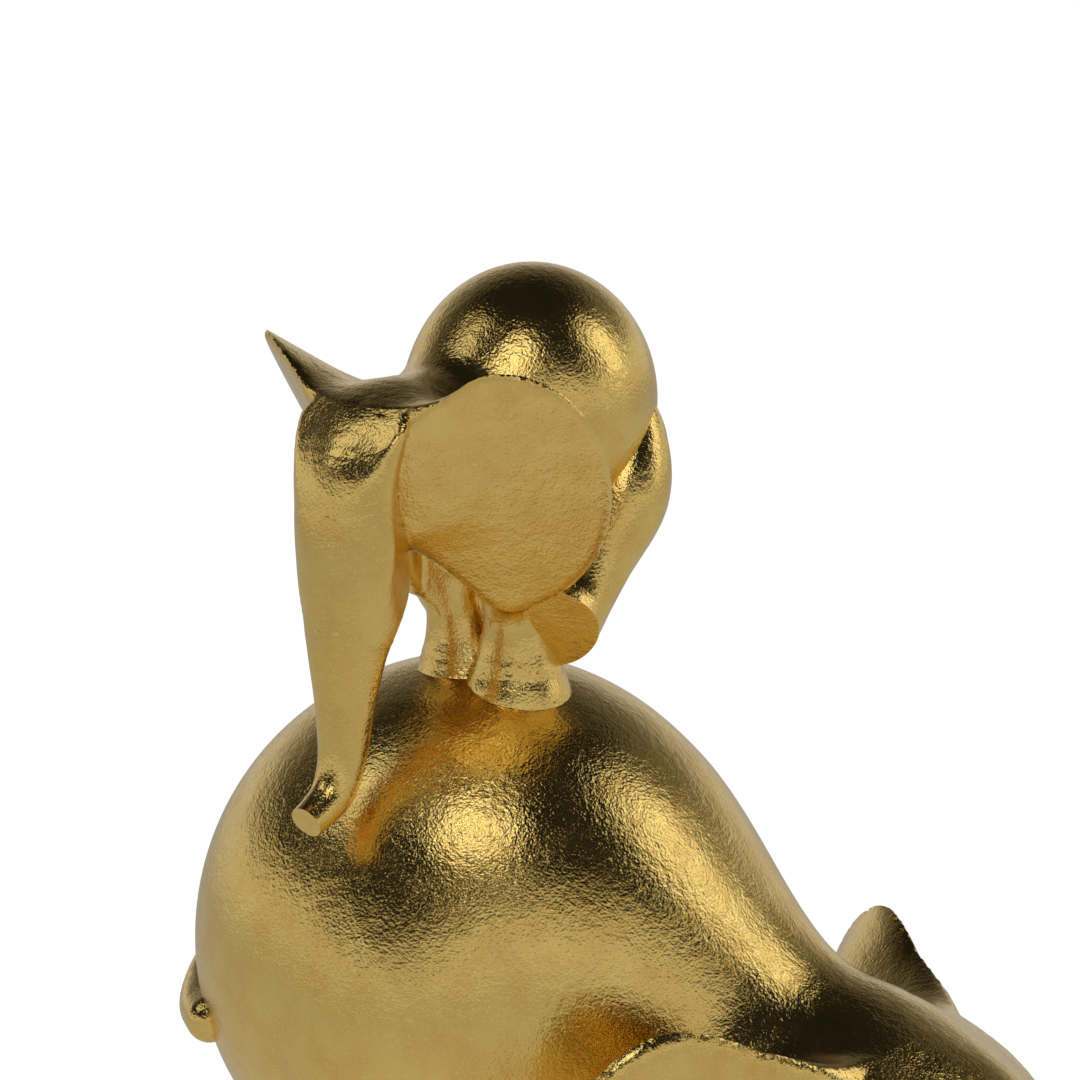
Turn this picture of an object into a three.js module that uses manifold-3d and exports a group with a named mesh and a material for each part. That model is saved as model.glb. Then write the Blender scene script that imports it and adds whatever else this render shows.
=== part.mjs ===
// A figurine of two elephants, cast in resin and gilded: a small one stands on the back of a large one.
// Millimetres, +Z up, +X is the way the large elephant faces, and the felt pads stand on z = 0.
// Each casting is a smooth form, blended from ellipsoids and tapered tubes and meshed with crisp edges.
// The forms are then parted at the glue joints and drilled for the pins that hold them together.

import * as THREE from 'three';
import { mergeVertices } from 'three/addons/utils/BufferGeometryUtils.js';
import Module from 'manifold-3d';

const wasm = await Module();
wasm.setup();

// Joints, pins and pads
const glueGap = 0.3;
const pinClearance = 0.3;
const padThickness = 1.6;
const padRadius = 13;
const neckDowelRadius = 6;
const neckDowelLength = 34;
const smallNeckDowelRadius = 3;
const smallNeckDowelLength = 18;
const footDowelRadius = 2.5;
const footDowelLength = 26;
const footDowelDepth = 14;
const footDowelSpread = 7.4;
const largeEarPinRadius = 2.5;
const largeEarPinLength = 16;
const smallEarPinRadius = 1.2;
const smallEarPinLength = 8;
const earPinCover = 1.3;
const hipPinRadius = 1.5;
const hipPinLength = 11;
const hipPinInner = 5;
const seatEase = 0.4;
const meshEase = 0.14;
const smallMeshEase = 0.09;

// Large elephant: the round body, its neck and its four gathered legs
const bodyHeight = 121.4;
const bodyLong = 60.3;
const bodyWide = 57;
const bodyTall = 60.6;
const neckRadius = 27;
const haunchFlat = 2;
const hindFootSpread = 26;
const foreFootSpread = 15;
const hindFootBack = -15;
const foreFootFront = 37;
const largeLegRadius = 12.5;
const largeFootRadius = 19.5;
const largeHeadAt = new THREE.Vector3(79, 0, bodyHeight - 41.9);
const largeHeadYaw = -5;
const largeHeadPitch = 33;
const largeHeadScale = 1.95;
const largeNeckSeam = 58;

// Small elephant, in its own frame: it faces +X there and its feet rest near z = 0
const smallSink = 5.4;
const smallAt = new THREE.Vector3(2.9, -6.2, bodyHeight + bodyTall - smallSink);
const smallYaw = -116;
const smallBodyHeight = 60;
const smallBodyBack = -11;
const smallBodyLong = 27.5;
const smallBodyWide = 26;
const smallBodyTall = 29;
const smallLegRadius = 6.8;
const smallFootRadius = 11.6;
const smallFootSpread = 7;
const smallNeckSeam = 12;

// Ears: flat discs, leaning forward and out, their faces turned down a little
const earHalfHeight = 32.3;
const earHalfWidth = 22.4;
const earRim = 1.6;
const earCone = 13;
const earBevel = 1;
const earInset = 0.5;
const coneEase = 1;
const earSides = 34;
const earPanel = 4.4;
const earOpen = 30;

// Cell sizes of the meshes, and a length that is longer than the whole figurine
const largeCell = 9.6;
const smallCell = 5.2;
const largeTailCell = 3.4;
const smallLegCell = 4;
const smallTailCell = 2.2;
const beyondAll = 3 * bodyHeight;

const rad = THREE.MathUtils.degToRad;

// Form algebra: a form gives the signed distance of a point, negative inside

function ellipsoid(cx, cy, cz, rx, ry, rz) {
  return (x, y, z) => {
    const a = (x - cx) / rx;
    const b = (y - cy) / ry;
    const c = (z - cz) / rz;
    const near = Math.hypot(a, b, c);
    const slope = Math.hypot(a / rx, b / ry, c / rz);
    return slope < 1e-12 ? -Math.min(rx, ry, rz) : near * (near - 1) / slope;
  };
}

// A smooth line through stations [x, y, z, radius]
function smoothLine(stations, steps) {
  const ends = stations.map(s => [...s]);
  const last = ends.length - 1;
  ends.unshift(ends[0].map((v, i) => 2 * v - ends[1][i]));
  ends.push(ends[last + 1].map((v, i) => 2 * v - ends[last][i]));
  const line = [];
  for (let k = 0; k < last; k++) {
    const [a, b, c, d] = ends.slice(k, k + 4);
    for (let s = 0; s < steps; s++) {
      const t = s / steps;
      line.push(b.map((v, i) => 0.5 * (2 * v + (c[i] - a[i]) * t
        + (2 * a[i] - 5 * v + 4 * c[i] - d[i]) * t * t
        + (3 * v - a[i] - 3 * c[i] + d[i]) * t * t * t)));
    }
  }
  line.push(stations[last]);
  return line;
}

function taperedTube(line) {
  const runs = line.slice(1).map((b, k) => {
    const a = line[k];
    const d = [b[0] - a[0], b[1] - a[1], b[2] - a[2]];
    return { a, d, grow: b[3] - a[3], size: d[0] * d[0] + d[1] * d[1] + d[2] * d[2] };
  });
  return (x, y, z) => {
    let best = Infinity;
    for (const { a, d, grow, size } of runs) {
      const px = x - a[0];
      const py = y - a[1];
      const pz = z - a[2];
      const t = Math.min(1, Math.max(0, (px * d[0] + py * d[1] + pz * d[2]) / size));
      const reach = Math.hypot(px - t * d[0], py - t * d[1], pz - t * d[2]) - a[3] - t * grow;
      if (reach < best) best = reach;
    }
    return best;
  };
}

function blended(a, b, radius) {
  const h = Math.max(radius - Math.abs(a - b), 0) / radius;
  return Math.min(a, b) - h * h * radius / 4;
}

const blend = (f, g, radius) => (x, y, z) => blended(f(x, y, z), g(x, y, z), radius);
const meet = (f, g) => (x, y, z) => Math.max(f(x, y, z), g(x, y, z));
const bothSides = f => (x, y, z) => f(x, Math.abs(y), z);

// Everything behind the face that has this point and this outward normal
function halfSpace(point, normal) {
  const n = new THREE.Vector3(...normal).normalize();
  const level = n.dot(new THREE.Vector3(...point));
  return (x, y, z) => n.x * x + n.y * y + n.z * z - level;
}

// A form scaled, tipped nose up by pitch, turned by yaw, and carried from its own origin to a place
function placed(form, { from, to, yaw = 0, pitch = 0, scale = 1 }) {
  const turn = new THREE.Matrix4().makeRotationZ(rad(yaw))
    .multiply(new THREE.Matrix4().makeRotationY(-rad(pitch)));
  const matrix = new THREE.Matrix4().makeTranslation(to.x, to.y, to.z)
    .multiply(turn)
    .multiply(new THREE.Matrix4().makeScale(scale, scale, scale))
    .multiply(new THREE.Matrix4().makeTranslation(-from.x, -from.y, -from.z));
  const e = matrix.clone().invert().elements;
  const at = (x, y, z) => scale * form(
    e[0] * x + e[4] * y + e[8] * z + e[12],
    e[1] * x + e[5] * y + e[9] * z + e[13],
    e[2] * x + e[6] * y + e[10] * z + e[14]);
  return { form: at, matrix };
}

// Meshing: one corner in each cell that the surface crosses, pulled onto the planes that meet there

const axes = [[1, 0, 0], [0, 1, 0], [0, 0, 1]];
const slopeStep = 0.01;
const cornerStep = 0.9;

function outward(form, p, h = slopeStep) {
  const g = axes.map(([i, j, k]) => form(p[0] + i * h, p[1] + j * h, p[2] + k * h)
    - form(p[0] - i * h, p[1] - j * h, p[2] - k * h));
  const size = Math.hypot(...g) || 1;
  return g.map(v => v / size);
}

// The point where the form crosses zero between two grid points
function crossing(form, p, q, fp, fq) {
  let [a, b, fa, fb] = [p, q, fp, fq];
  let mid = p;
  for (let k = 0; k < 4; k++) {
    const t = Math.min(0.95, Math.max(0.05, fa / (fa - fb)));
    mid = a.map((v, i) => v + t * (b[i] - v));
    const fm = form(...mid);
    if ((fm < 0) === (fa < 0)) [a, fa] = [mid, fm];
    else [b, fb] = [mid, fm];
  }
  return mid;
}

// The twelve edges of a cell, four along each axis, and the four edges round each of its six faces
const edgeNumber = (axis, a, b) => axis * 4 + a * 2 + b;
const cellEdges = axes.flatMap((step, axis) => [[0, 0], [0, 1], [1, 0], [1, 1]].map(([a, b]) => {
  const from = [0, 1, 2].map(i => a * axes[(axis + 1) % 3][i] + b * axes[(axis + 2) % 3][i]);
  return { from, to: from.map((v, i) => v + step[i]) };
}));
const cellFaces = [0, 1, 2].flatMap(axis => [0, 1].map(level => cellEdges.map((_, n) => n)
  .filter(n => cellEdges[n].from[axis] === level && cellEdges[n].to[axis] === level)));

function sharedCorner(e, f) {
  return [e.from, e.to].find(p => [f.from, f.to].some(q => q.every((v, i) => v === p[i])));
}

// The box round a form's surface, found by halving a large cube wherever the surface may pass
function boundsOf(form, leaf) {
  const min = [0, 1, 2].map(() => Infinity);
  const max = [0, 1, 2].map(() => -Infinity);
  const visit = (middle, half) => {
    if (Math.abs(form(...middle)) > 2 * half) return;
    if (half > leaf) {
      for (const corner of [0, 1, 2, 3, 4, 5, 6, 7]) {
        visit(middle.map((v, i) => v + ((corner >> i) % 2 - 0.5) * half), half / 2);
      }
      return;
    }
    middle.forEach((v, i) => {
      min[i] = Math.min(min[i], v - half);
      max[i] = Math.max(max[i], v + half);
    });
  };
  visit([0, 0, 0], beyondAll);
  return [min, max];
}

function surface(form, cell) {
  const [min, max] = boundsOf(form, cell);
  const count = min.map((v, i) => Math.ceil((max[i] - v) / cell) + 3);
  const index = (i, j, k) => (k * count[1] + j) * count[0] + i;
  const point = (i, j, k) => [min[0] + (i - 1) * cell, min[1] + (j - 1) * cell, min[2] + (k - 1) * cell];
  const value = new Float64Array(count[0] * count[1] * count[2]);
  for (let k = 0; k < count[2]; k++) {
    for (let j = 0; j < count[1]; j++) {
      for (let i = 0; i < count[0]; i++) value[index(i, j, k)] = form(...point(i, j, k));
    }
  }

  // Sheets: the crossed edges of a cell, joined face by face, so that each sheet gets a corner of its own
  const cells = new Map();
  const sheetOf = (i, j, k, edge) => {
    const key = index(i, j, k);
    if (!cells.has(key)) cells.set(key, sheetsIn((a, b, c) => value[index(i + a, j + b, k + c)] < 0, point(i, j, k)));
    return cells.get(key)[edge];
  };
  const sheets = [];
  const sheetsIn = (inside, low) => {
    const root = cellEdges.map((_, n) => n);
    const find = n => (root[n] === n ? n : find(root[n]));
    for (const face of cellFaces) {
      const crossed = face.filter(n => inside(...cellEdges[n].from) !== inside(...cellEdges[n].to));
      const pairs = crossed.length === 2 ? [crossed] : [];
      if (crossed.length === 4) {
        for (const m of crossed) {
          for (const n of crossed) {
            const shared = m < n && sharedCorner(cellEdges[m], cellEdges[n]);
            if (shared && inside(...shared)) pairs.push([m, n]);
          }
        }
      }
      for (const [m, n] of pairs) root[find(m)] = find(n);
    }
    const made = new Map();
    return cellEdges.map(({ from, to }, n) => {
      if (inside(...from) === inside(...to)) return null;
      if (!made.has(find(n))) {
        made.set(find(n), { low, hits: [], number: sheets.length });
        sheets.push(made.get(find(n)));
      }
      return made.get(find(n));
    });
  };

  const quads = [];
  for (let k = 1; k < count[2] - 1; k++) {
    for (let j = 1; j < count[1] - 1; j++) {
      for (let i = 1; i < count[0] - 1; i++) {
        axes.forEach((step, axis) => {
          const fp = value[index(i, j, k)];
          const fq = value[index(i + step[0], j + step[1], k + step[2])];
          if ((fp < 0) === (fq < 0)) return;
          const at = crossing(form, point(i, j, k), point(i + step[0], j + step[1], k + step[2]), fp, fq);
          const hit = { at, out: outward(form, at) };
          const u = axes[(axis + 1) % 3];
          const v = axes[(axis + 2) % 3];
          const round = [[0, 0], [1, 0], [1, 1], [0, 1]].map(([a, b]) => sheetOf(
            i - a * u[0] - b * v[0], j - a * u[1] - b * v[1], k - a * u[2] - b * v[2],
            edgeNumber(axis, a, b)));
          round.forEach(sheet => sheet.hits.push(hit));
          quads.push(fp < 0 ? round : round.reverse());
        });
      }
    }
  }

  const corners = new Float32Array(sheets.length * 3);
  for (const { low, hits, number } of sheets) {
    const p = [0, 1, 2].map(i => hits.reduce((sum, h) => sum + h.at[i], 0) / hits.length);
    for (let turn = 0; turn < 24; turn++) {
      const pull = [0, 0, 0];
      for (const { at, out } of hits) {
        const off = out[0] * (at[0] - p[0]) + out[1] * (at[1] - p[1]) + out[2] * (at[2] - p[2]);
        out.forEach((n, i) => { pull[i] += n * off / hits.length; });
      }
      pull.forEach((d, i) => { p[i] = Math.min(low[i] + cell, Math.max(low[i], p[i] + d)); });
    }
    corners.set(p, number * 3);
  }
  const triangles = [];
  const gap = (a, b) => Math.hypot(...[0, 1, 2].map(i => corners[a * 3 + i] - corners[b * 3 + i]));
  for (const quad of quads) {
    const [a, b, c, d] = quad.map(q => q.number);
    if (gap(a, c) <= gap(b, d)) triangles.push(a, b, c, a, c, d);
    else triangles.push(a, b, d, b, c, d);
  }
  return new wasm.Manifold(new wasm.Mesh({
    numProp: 3, vertProperties: corners, triVerts: Uint32Array.from(triangles),
  }));
}

// Solids from ready-made geometry, and back
function solidFrom(geometry, matrix = new THREE.Matrix4()) {
  const plain = geometry.clone().applyMatrix4(matrix);
  plain.deleteAttribute('normal');
  plain.deleteAttribute('uv');
  const merged = mergeVertices(plain, 1e-4);
  return new wasm.Manifold(new wasm.Mesh({
    numProp: 3,
    vertProperties: Float32Array.from(merged.attributes.position.array),
    triVerts: Uint32Array.from(merged.index.array),
  }));
}

function blockFrom(min, max) {
  const size = max.map((v, i) => v - min[i]);
  const middle = max.map((v, i) => (v + min[i]) / 2);
  return solidFrom(new THREE.BoxGeometry(...size), new THREE.Matrix4().makeTranslation(...middle));
}

// A cylinder that starts at a point and runs along a direction
function rod(start, along, radius, length, sides = 12) {
  const way = new THREE.Vector3(...along).normalize();
  const turn = new THREE.Quaternion().setFromUnitVectors(new THREE.Vector3(0, 1, 0), way);
  const middle = new THREE.Vector3(...start).addScaledVector(way, length / 2);
  const matrix = new THREE.Matrix4().compose(middle, turn, new THREE.Vector3(1, 1, 1));
  return solidFrom(new THREE.CylinderGeometry(radius, radius, length, sides), matrix);
}

// The largest piece of a cut solid, without crumbs
function mainPart(solid) {
  return solid.decompose().sort((a, b) => b.volume() - a.volume())[0];
}

// Ears, heads and bodies

function earFrame(centre, up, face) {
  const n = new THREE.Vector3(...face).normalize();
  const u = new THREE.Vector3(...up);
  u.addScaledVector(n, -n.dot(u)).normalize();
  return { centre: new THREE.Vector3(...centre), n, u, s: new THREE.Vector3().crossVectors(n, u) };
}

const smallEar = earFrame([23.3, 24.1, 48.3], [0.371, 0.302, 0.878], [0.686, 0.548, -0.478]);
const largeEar = earFrame([24.3, 24.6, 48.4], [0.287, 0.383, 0.878], [0.533, 0.698, -0.478]);

// Skull, cones behind the ears and trunk, in the small elephant's size. The ears' discs are joined on later
function headForm(ear, skullStations, trunkStations) {
  const skull = taperedTube(smoothLine(skullStations, 4));
  const trunk = taperedTube(smoothLine(trunkStations, 4));
  const earRadius = (earHalfHeight + earHalfWidth) / 2;
  const coneSlope = earRadius / earCone;
  const { centre, n, u, s } = ear;
  return (x, y, z) => {
    const px = x - centre.x;
    const py = Math.abs(y) - centre.y;
    const pz = z - centre.z;
    const face = n.x * px + n.y * py + n.z * pz;
    const rise = u.x * px + u.y * py + u.z * pz;
    const side = s.x * px + s.y * py + s.z * pz;
    const outline = (Math.hypot(rise / earHalfHeight, side / earHalfWidth) - 1) * earRadius;
    const cone = (outline + earInset + coneEase - (face + earRim) * coneSlope) / Math.hypot(1, coneSlope);
    const cap = blended(skull(x, y, z), Math.max(cone, face + earRim), 9);
    return blended(cap, trunk(x, y, z), 6);
  };
}

const smallSkull = [[18, 0, 57, 11], [30, 0, 57, 13.8], [37.6, 0, 51.5, 15], [41, 0, 43, 14.2]];
const smallTrunk = [[39, 0, 40, 12.5], [41.8, 0, 32, 12.6], [43.6, 0, 26, 11.6], [45.2, 0, 20, 9.6], [46, 0, 14, 8.2],
  [46.6, 0, 4, 6.4], [47.4, 0, -6.4, 5.2], [50, 0, -13.5, 4.6], [55, 0, -17.4, 4], [62, 0, -20.3, 3.4]];
const smallTrunkEnd = halfSpace([58.6, 0, -19.2], [0.87, 0, -0.5]);
const largeSkull = [[16, 0, 61, 11], [30, 0, 60, 13], [37, 0, 53.5, 14], [40, 0, 45, 14]];
const largeTrunk = [[98, 0, largeHeadAt.z - 6, 26], [111, 0, largeHeadAt.z - 18, 24], [119, 0, largeHeadAt.z - 33, 20],
  [121, 0, largeHeadAt.z - 46, 15.5], [122, 0, 23, 12.3], [126, 0, 15, 10.2], [134, 0, 11.5, 8.8], [148, 0, 13, 7.2]];
const largeTrunkEnd = halfSpace([141, 0, 12], [1, 0, 0.15]);
const trunkEndHeight = 26;
const headOrigin = new THREE.Vector3(32, 0, 55);

const largeHeadPlace = {
  from: headOrigin, to: largeHeadAt, yaw: largeHeadYaw, pitch: largeHeadPitch, scale: largeHeadScale,
};
const headMatrix = placed(null, largeHeadPlace).matrix;
const toLargeHead = headMatrix.clone().invert();
const largeTrunkInHead = largeTrunk.map(([x, y, z, r]) => {
  const p = new THREE.Vector3(x, y, z).applyMatrix4(toLargeHead);
  return [p.x, p.y, p.z, r / largeHeadScale];
});
const largeHeadWhole = placed(headForm(largeEar, largeSkull, largeTrunkInHead), largeHeadPlace).form;
const largeHead = (x, y, z) => (z < trunkEndHeight
  ? Math.max(largeHeadWhole(x, y, z), largeTrunkEnd(x, y, z)) : largeHeadWhole(x, y, z));

// A leg from the haunch to its flared foot, and the haunch as a flattened tube on the flank
const hindLeg = bothSides(taperedTube(smoothLine([[-4, 30, bodyHeight - 3.4, 22], [-3, 34, bodyHeight - 19.4, 18.5],
  [-6, 30, bodyHeight - 51.4, largeLegRadius + 1], [hindFootBack + 1, hindFootSpread + 1, 30, largeLegRadius],
  [hindFootBack, hindFootSpread, 14, largeLegRadius + 2.5], [hindFootBack, hindFootSpread, 5, largeFootRadius - 1],
  [hindFootBack, hindFootSpread, -4, largeFootRadius + 1]], 3)));
const haunchTube = taperedTube(smoothLine([[-6, bodyWide - 14, bodyHeight + 13, 24],
  [-5, bodyWide - 8, bodyHeight - 1.4, 23.5], [-3, bodyWide - 7, bodyHeight - 19.4, 18.5],
  [-3, bodyWide - 13, bodyHeight - 37.4, 14]].map(([x, y, z, r]) => [x, haunchFlat * y, z, r]), 3));
const haunch = bothSides((x, y, z) => haunchTube(x, haunchFlat * y, z) / haunchFlat);
const foreLeg = bothSides(taperedTube(smoothLine([[foreFootFront, 16, bodyHeight - 33.4, 24], [foreFootFront + 2, 17, 60, 15],
  [foreFootFront + 1, 16, 32, largeLegRadius], [foreFootFront, foreFootSpread, 14, largeLegRadius + 2],
  [foreFootFront, foreFootSpread, 5, largeFootRadius - 1.5], [foreFootFront, foreFootSpread, -4, largeFootRadius + 0.5]], 3)));

const bodyBack = -2;
const ball = ellipsoid(bodyBack, 0, bodyHeight, bodyLong, bodyWide, bodyTall);
const largeNeck = taperedTube([[25, 0, bodyHeight - 13.4, neckRadius + 11], [71, 0, bodyHeight - 30.4, neckRadius]]);
const largeTorso = blend(blend(blend(blend(ball, largeNeck, 24), hindLeg, 5), haunch, 2.5), foreLeg, 9);
const underside = (x, y, z) => padThickness + glueGap - z;

const tailLine = [[-54, 9, -4.4, 7.5], [-59.5, 3, -9.9, 6], [-60.5, -5, -13.4, 5.2], [-59, -13, -15.4, 5],
  [-55.5, -20, -16.4, 5.1]];
const largeTail = taperedTube(smoothLine(tailLine.map(([x, y, z, r]) => [x, y, bodyHeight + z, r]), 3));

// The small elephant in its own frame
const smallBall = ellipsoid(smallBodyBack, 0, smallBodyHeight, smallBodyLong, smallBodyWide, smallBodyTall);
const smallChest = ellipsoid(1, 0, 42, 13, 14, 20);
const smallNeck = taperedTube([[-6, 0, smallBodyHeight - 1, 17], [20, 0, smallBodyHeight - 4.5, 13]]);
const smallForeLeg = bothSides(taperedTube(smoothLine([[3, 8.5, 40, 9], [4, 8.5, 24, smallLegRadius],
  [2.5, 8, 15, smallLegRadius], [1.4, smallFootSpread, 9, smallFootRadius - 3], [1, smallFootSpread, 5, smallFootRadius - 1],
  [1, smallFootSpread, 1, smallFootRadius], [1, smallFootSpread, -3, smallFootRadius - 0.2]], 3)));
const smallTorso = blend(blend(blend(smallBall, smallChest, 10), smallNeck, 8), smallForeLeg, 3);
const smallHeadWhole = headForm(smallEar, smallSkull, smallTrunk);
const smallHead = meet(smallHeadWhole, smallTrunkEnd);
const smallHindLegTube = taperedTube(smoothLine([[-24, 17, 64, 2.5], [-23.5, 18, 53, 7], [-19.5, 19, 41, 9.3],
  [-11, 18.5, 28, 7.6], [-4.5, 17.6, 20.5, 8.3], [1, 17.3, 16.5, 10.2], [7, 17.3, 13, 11]], 3));
const smallSole = halfSpace([2, 17.3, 15.6], [0.72, 0.5, -0.48]);
const offForeLeg = (x, y, z) => glueGap + seatEase - smallForeLeg(x, y, z);
const smallHindLeg = meet(meet(smallHindLegTube, smallSole), offForeLeg);
const smallTail = taperedTube(smoothLine([[-34, 0, 66, 3.2], [-40, 1, 62, 2.8], [-41, 3, 56, 2.4], [-39, 6, 52, 2.6]], 3));

const largeWhole = meet(blend(largeTorso, largeHead, 12), underside);
const smallPlace = new THREE.Matrix4().makeTranslation(...smallAt)
  .multiply(new THREE.Matrix4().makeRotationZ(rad(smallYaw)));
const offLargeBack = (x, y, z) => {
  const p = new THREE.Vector3(x, y, z).applyMatrix4(smallPlace);
  return glueGap + seatEase - largeTorso(p.x, p.y, p.z);
};
const smallWhole = meet(blend(smallTorso, smallHead, 6), offLargeBack);

// Glue joints. An upright plane parts the neck; past the ear line the head side reaches further back
const largeEarLine = 50;
const largeEarBack = 27;
const smallEarLine = 29;
const smallEarBack = 0;
function bodySide(seam, earLine, earBack) {
  const inner = blockFrom([-beyondAll, -earLine, -beyondAll], [seam, earLine, beyondAll]);
  return inner.add(blockFrom([-beyondAll, -beyondAll, -beyondAll], [earBack, beyondAll, beyondAll]));
}

// The plate that an ear is parted with. To cut the head it is grown by the joint's gap and left open outward
function earPlate({ centre, n, u, s }, grow, top) {
  const depth = earPanel + grow + top;
  const middle = centre.clone().addScaledVector(n, top - depth / 2);
  const place = new THREE.Matrix4().makeBasis(
    s.clone().multiplyScalar(earHalfWidth + grow), n.clone().multiplyScalar(depth),
    u.clone().multiplyScalar(earHalfHeight + grow)).setPosition(middle);
  return solidFrom(new THREE.CylinderGeometry(1, 1, 1, earSides), place);
}

// An ear's flat disc with a bevelled rim, and the cone behind it
function earDisc({ centre, n, u, s }) {
  const profile = [[0, -earRim - earCone], [1, -earRim], [1, -earBevel], [0.95, 0], [0, 0]];
  const turned = new THREE.LatheGeometry(profile.map(([r, h]) => new THREE.Vector2(r, h)), earSides);
  const place = new THREE.Matrix4().makeBasis(s.clone().multiplyScalar(earHalfWidth - earInset), n,
    u.clone().multiplyScalar(earHalfHeight - earInset)).setPosition(centre);
  return solidFrom(turned, place);
}

// An elephant parted into body, head and ears. The ears are placed by the head's matrix, which has this scale
const castings = {};
function part(prefix, smooth, side, grownSide, ear, matrix, scale) {
  const onHead = solid => solid.transform(matrix.elements);
  const otherSide = solid => solid.mirror([0, 1, 0]);
  const disc = earDisc(ear);
  const whole = smooth.add(onHead(disc)).add(onHead(otherSide(disc)));
  const half = blockFrom([-beyondAll, glueGap, -beyondAll], [beyondAll, beyondAll, beyondAll]);
  const plate = earPlate(ear, 0, 0).intersect(half);
  const cut = earPlate(ear, glueGap / scale, earOpen);
  const left = mainPart(whole.intersect(onHead(plate)));
  const rest = whole.subtract(onHead(cut)).subtract(onHead(otherSide(cut)));
  castings[`${prefix}_body`] = mainPart(rest.intersect(side));
  castings[`${prefix}_head`] = mainPart(rest.subtract(grownSide));
  castings[`${prefix}_ear_left`] = left;
  castings[`${prefix}_ear_right`] = onHead(otherSide(left.transform(matrix.clone().invert().elements)));
}
part('large', surface(largeWhole, largeCell).simplify(meshEase),
  bodySide(largeNeckSeam, largeEarLine, largeEarBack),
  bodySide(largeNeckSeam + glueGap, largeEarLine + glueGap, largeEarBack + glueGap),
  largeEar, headMatrix, largeHeadScale);
part('small', surface(smallWhole, smallCell).simplify(meshEase),
  bodySide(smallNeckSeam, smallEarLine, smallEarBack),
  bodySide(smallNeckSeam + glueGap, smallEarLine + glueGap, smallEarBack + glueGap),
  smallEar, new THREE.Matrix4(), 1);
castings.large_tail = surface(largeTail, largeTailCell).simplify(smallMeshEase);
castings.small_hind_leg_left = mainPart(surface(smallHindLeg, smallLegCell).simplify(smallMeshEase)
  .subtract(earPlate(smallEar, glueGap + seatEase, earOpen)));
castings.small_hind_leg_right = castings.small_hind_leg_left.mirror([0, 1, 0]);
castings.small_tail = surface(smallTail, smallTailCell).simplify(smallMeshEase);

// The tails and the small hind legs sit in seats that are a little larger than they are
function seat(holder, piece, form) {
  const grown = castings[piece].warp(p => {
    outward(form, p, cornerStep).forEach((n, i) => { p[i] += n * (glueGap + seatEase); });
  });
  castings[holder] = mainPart(castings[holder].subtract(grown));
}
seat('large_body', 'large_tail', largeTail);
seat('small_body', 'small_tail', smallTail);
seat('small_body', 'small_hind_leg_left', smallHindLeg);
seat('small_body', 'small_hind_leg_right', (x, y, z) => smallHindLeg(x, -y, z));
for (const [name, solid] of Object.entries(castings)) {
  castings[name] = mainPart(solid.simplify(name.startsWith('small') ? smallMeshEase : meshEase));
}

// Steel pins, each with a blind hole in the two castings that it joins
const pins = {};
function addPin(name, start, along, radius, length, joined) {
  const way = new THREE.Vector3(...along).normalize();
  const mouth = new THREE.Vector3(...start).addScaledVector(way, -pinClearance);
  const hole = rod(mouth, way, radius + pinClearance, length + 2 * pinClearance);
  for (const piece of joined) castings[piece] = castings[piece].subtract(hole);
  pins[name] = rod(start, way, radius, length);
}
addPin('large_neck_dowel', [largeNeckSeam - neckDowelLength / 2, 0, bodyHeight - 27.4], [1, 0, 0],
  neckDowelRadius, neckDowelLength, ['large_body', 'large_head']);
addPin('small_neck_dowel', [smallNeckSeam - smallNeckDowelLength / 2, 0, smallBodyHeight - 2], [1, 0, 0],
  smallNeckDowelRadius, smallNeckDowelLength, ['small_body', 'small_head']);
for (const [side, sign] of [['left', 1], ['right', -1]]) {
  const otherSide = new THREE.Matrix4().makeScale(1, sign, 1);
  const addEarPin = (prefix, { centre, n, s }, matrix, radius, length) => {
    const start = centre.clone().addScaledVector(n, -earPinCover).addScaledVector(s, 2);
    const way = n.clone().negate().transformDirection(otherSide).transformDirection(matrix);
    addPin(`${prefix}_ear_pin_${side}`, start.applyMatrix4(otherSide).applyMatrix4(matrix), way,
      radius, length, [`${prefix}_ear_${side}`, `${prefix}_head`]);
  };
  addEarPin('small', smallEar, new THREE.Matrix4(), smallEarPinRadius, smallEarPinLength);
  addEarPin('large', largeEar, headMatrix, largeEarPinRadius, largeEarPinLength);
  addPin(`small_hip_pin_${side}`, [-20, sign * hipPinInner, 41], [0, sign, 0],
    hipPinRadius, hipPinLength, [`small_hind_leg_${side}`, 'small_body']);
}

// Foot dowels run from the small elephant's front feet down into the large one's back
for (const [side, sign] of [['left', 1], ['right', -1]]) {
  const bottom = [2, sign * footDowelSpread, -footDowelDepth];
  const hole = rod([2, sign * footDowelSpread, -footDowelDepth - pinClearance], [0, 0, 1],
    footDowelRadius + pinClearance, footDowelLength + 2 * pinClearance);
  castings.small_body = castings.small_body.subtract(hole);
  castings.large_body = castings.large_body.subtract(hole.transform(smallPlace.elements));
  pins[`small_foot_dowel_${side}`] = rod(bottom, [0, 0, 1], footDowelRadius, footDowelLength);
}

// The scene graph: the small elephant is a group of its own, turned across the large one's back
const figurine = new THREE.Group();
const smallElephant = new THREE.Group();
smallElephant.position.copy(smallAt);
smallElephant.rotation.z = rad(smallYaw);
figurine.add(smallElephant);

const finishes = {
  gilt: { color: 0xc9a24c, roughness: 0.28, metalness: 1 },
  steel: { color: 0xb4b6b8, roughness: 0.35, metalness: 1 },
  felt: { color: 0x5a4632, roughness: 0.95, metalness: 0 },
};

function addPiece(group, name, solid, finish) {
  const mesh = solid.getMesh();
  const geometry = new THREE.BufferGeometry();
  geometry.setAttribute('position', new THREE.BufferAttribute(mesh.vertProperties, 3));
  geometry.setIndex(new THREE.BufferAttribute(mesh.triVerts, 1));
  geometry.computeVertexNormals();
  const piece = new THREE.Mesh(geometry, new THREE.MeshStandardMaterial(finishes[finish]));
  piece.name = name;
  group.add(piece);
}

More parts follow.
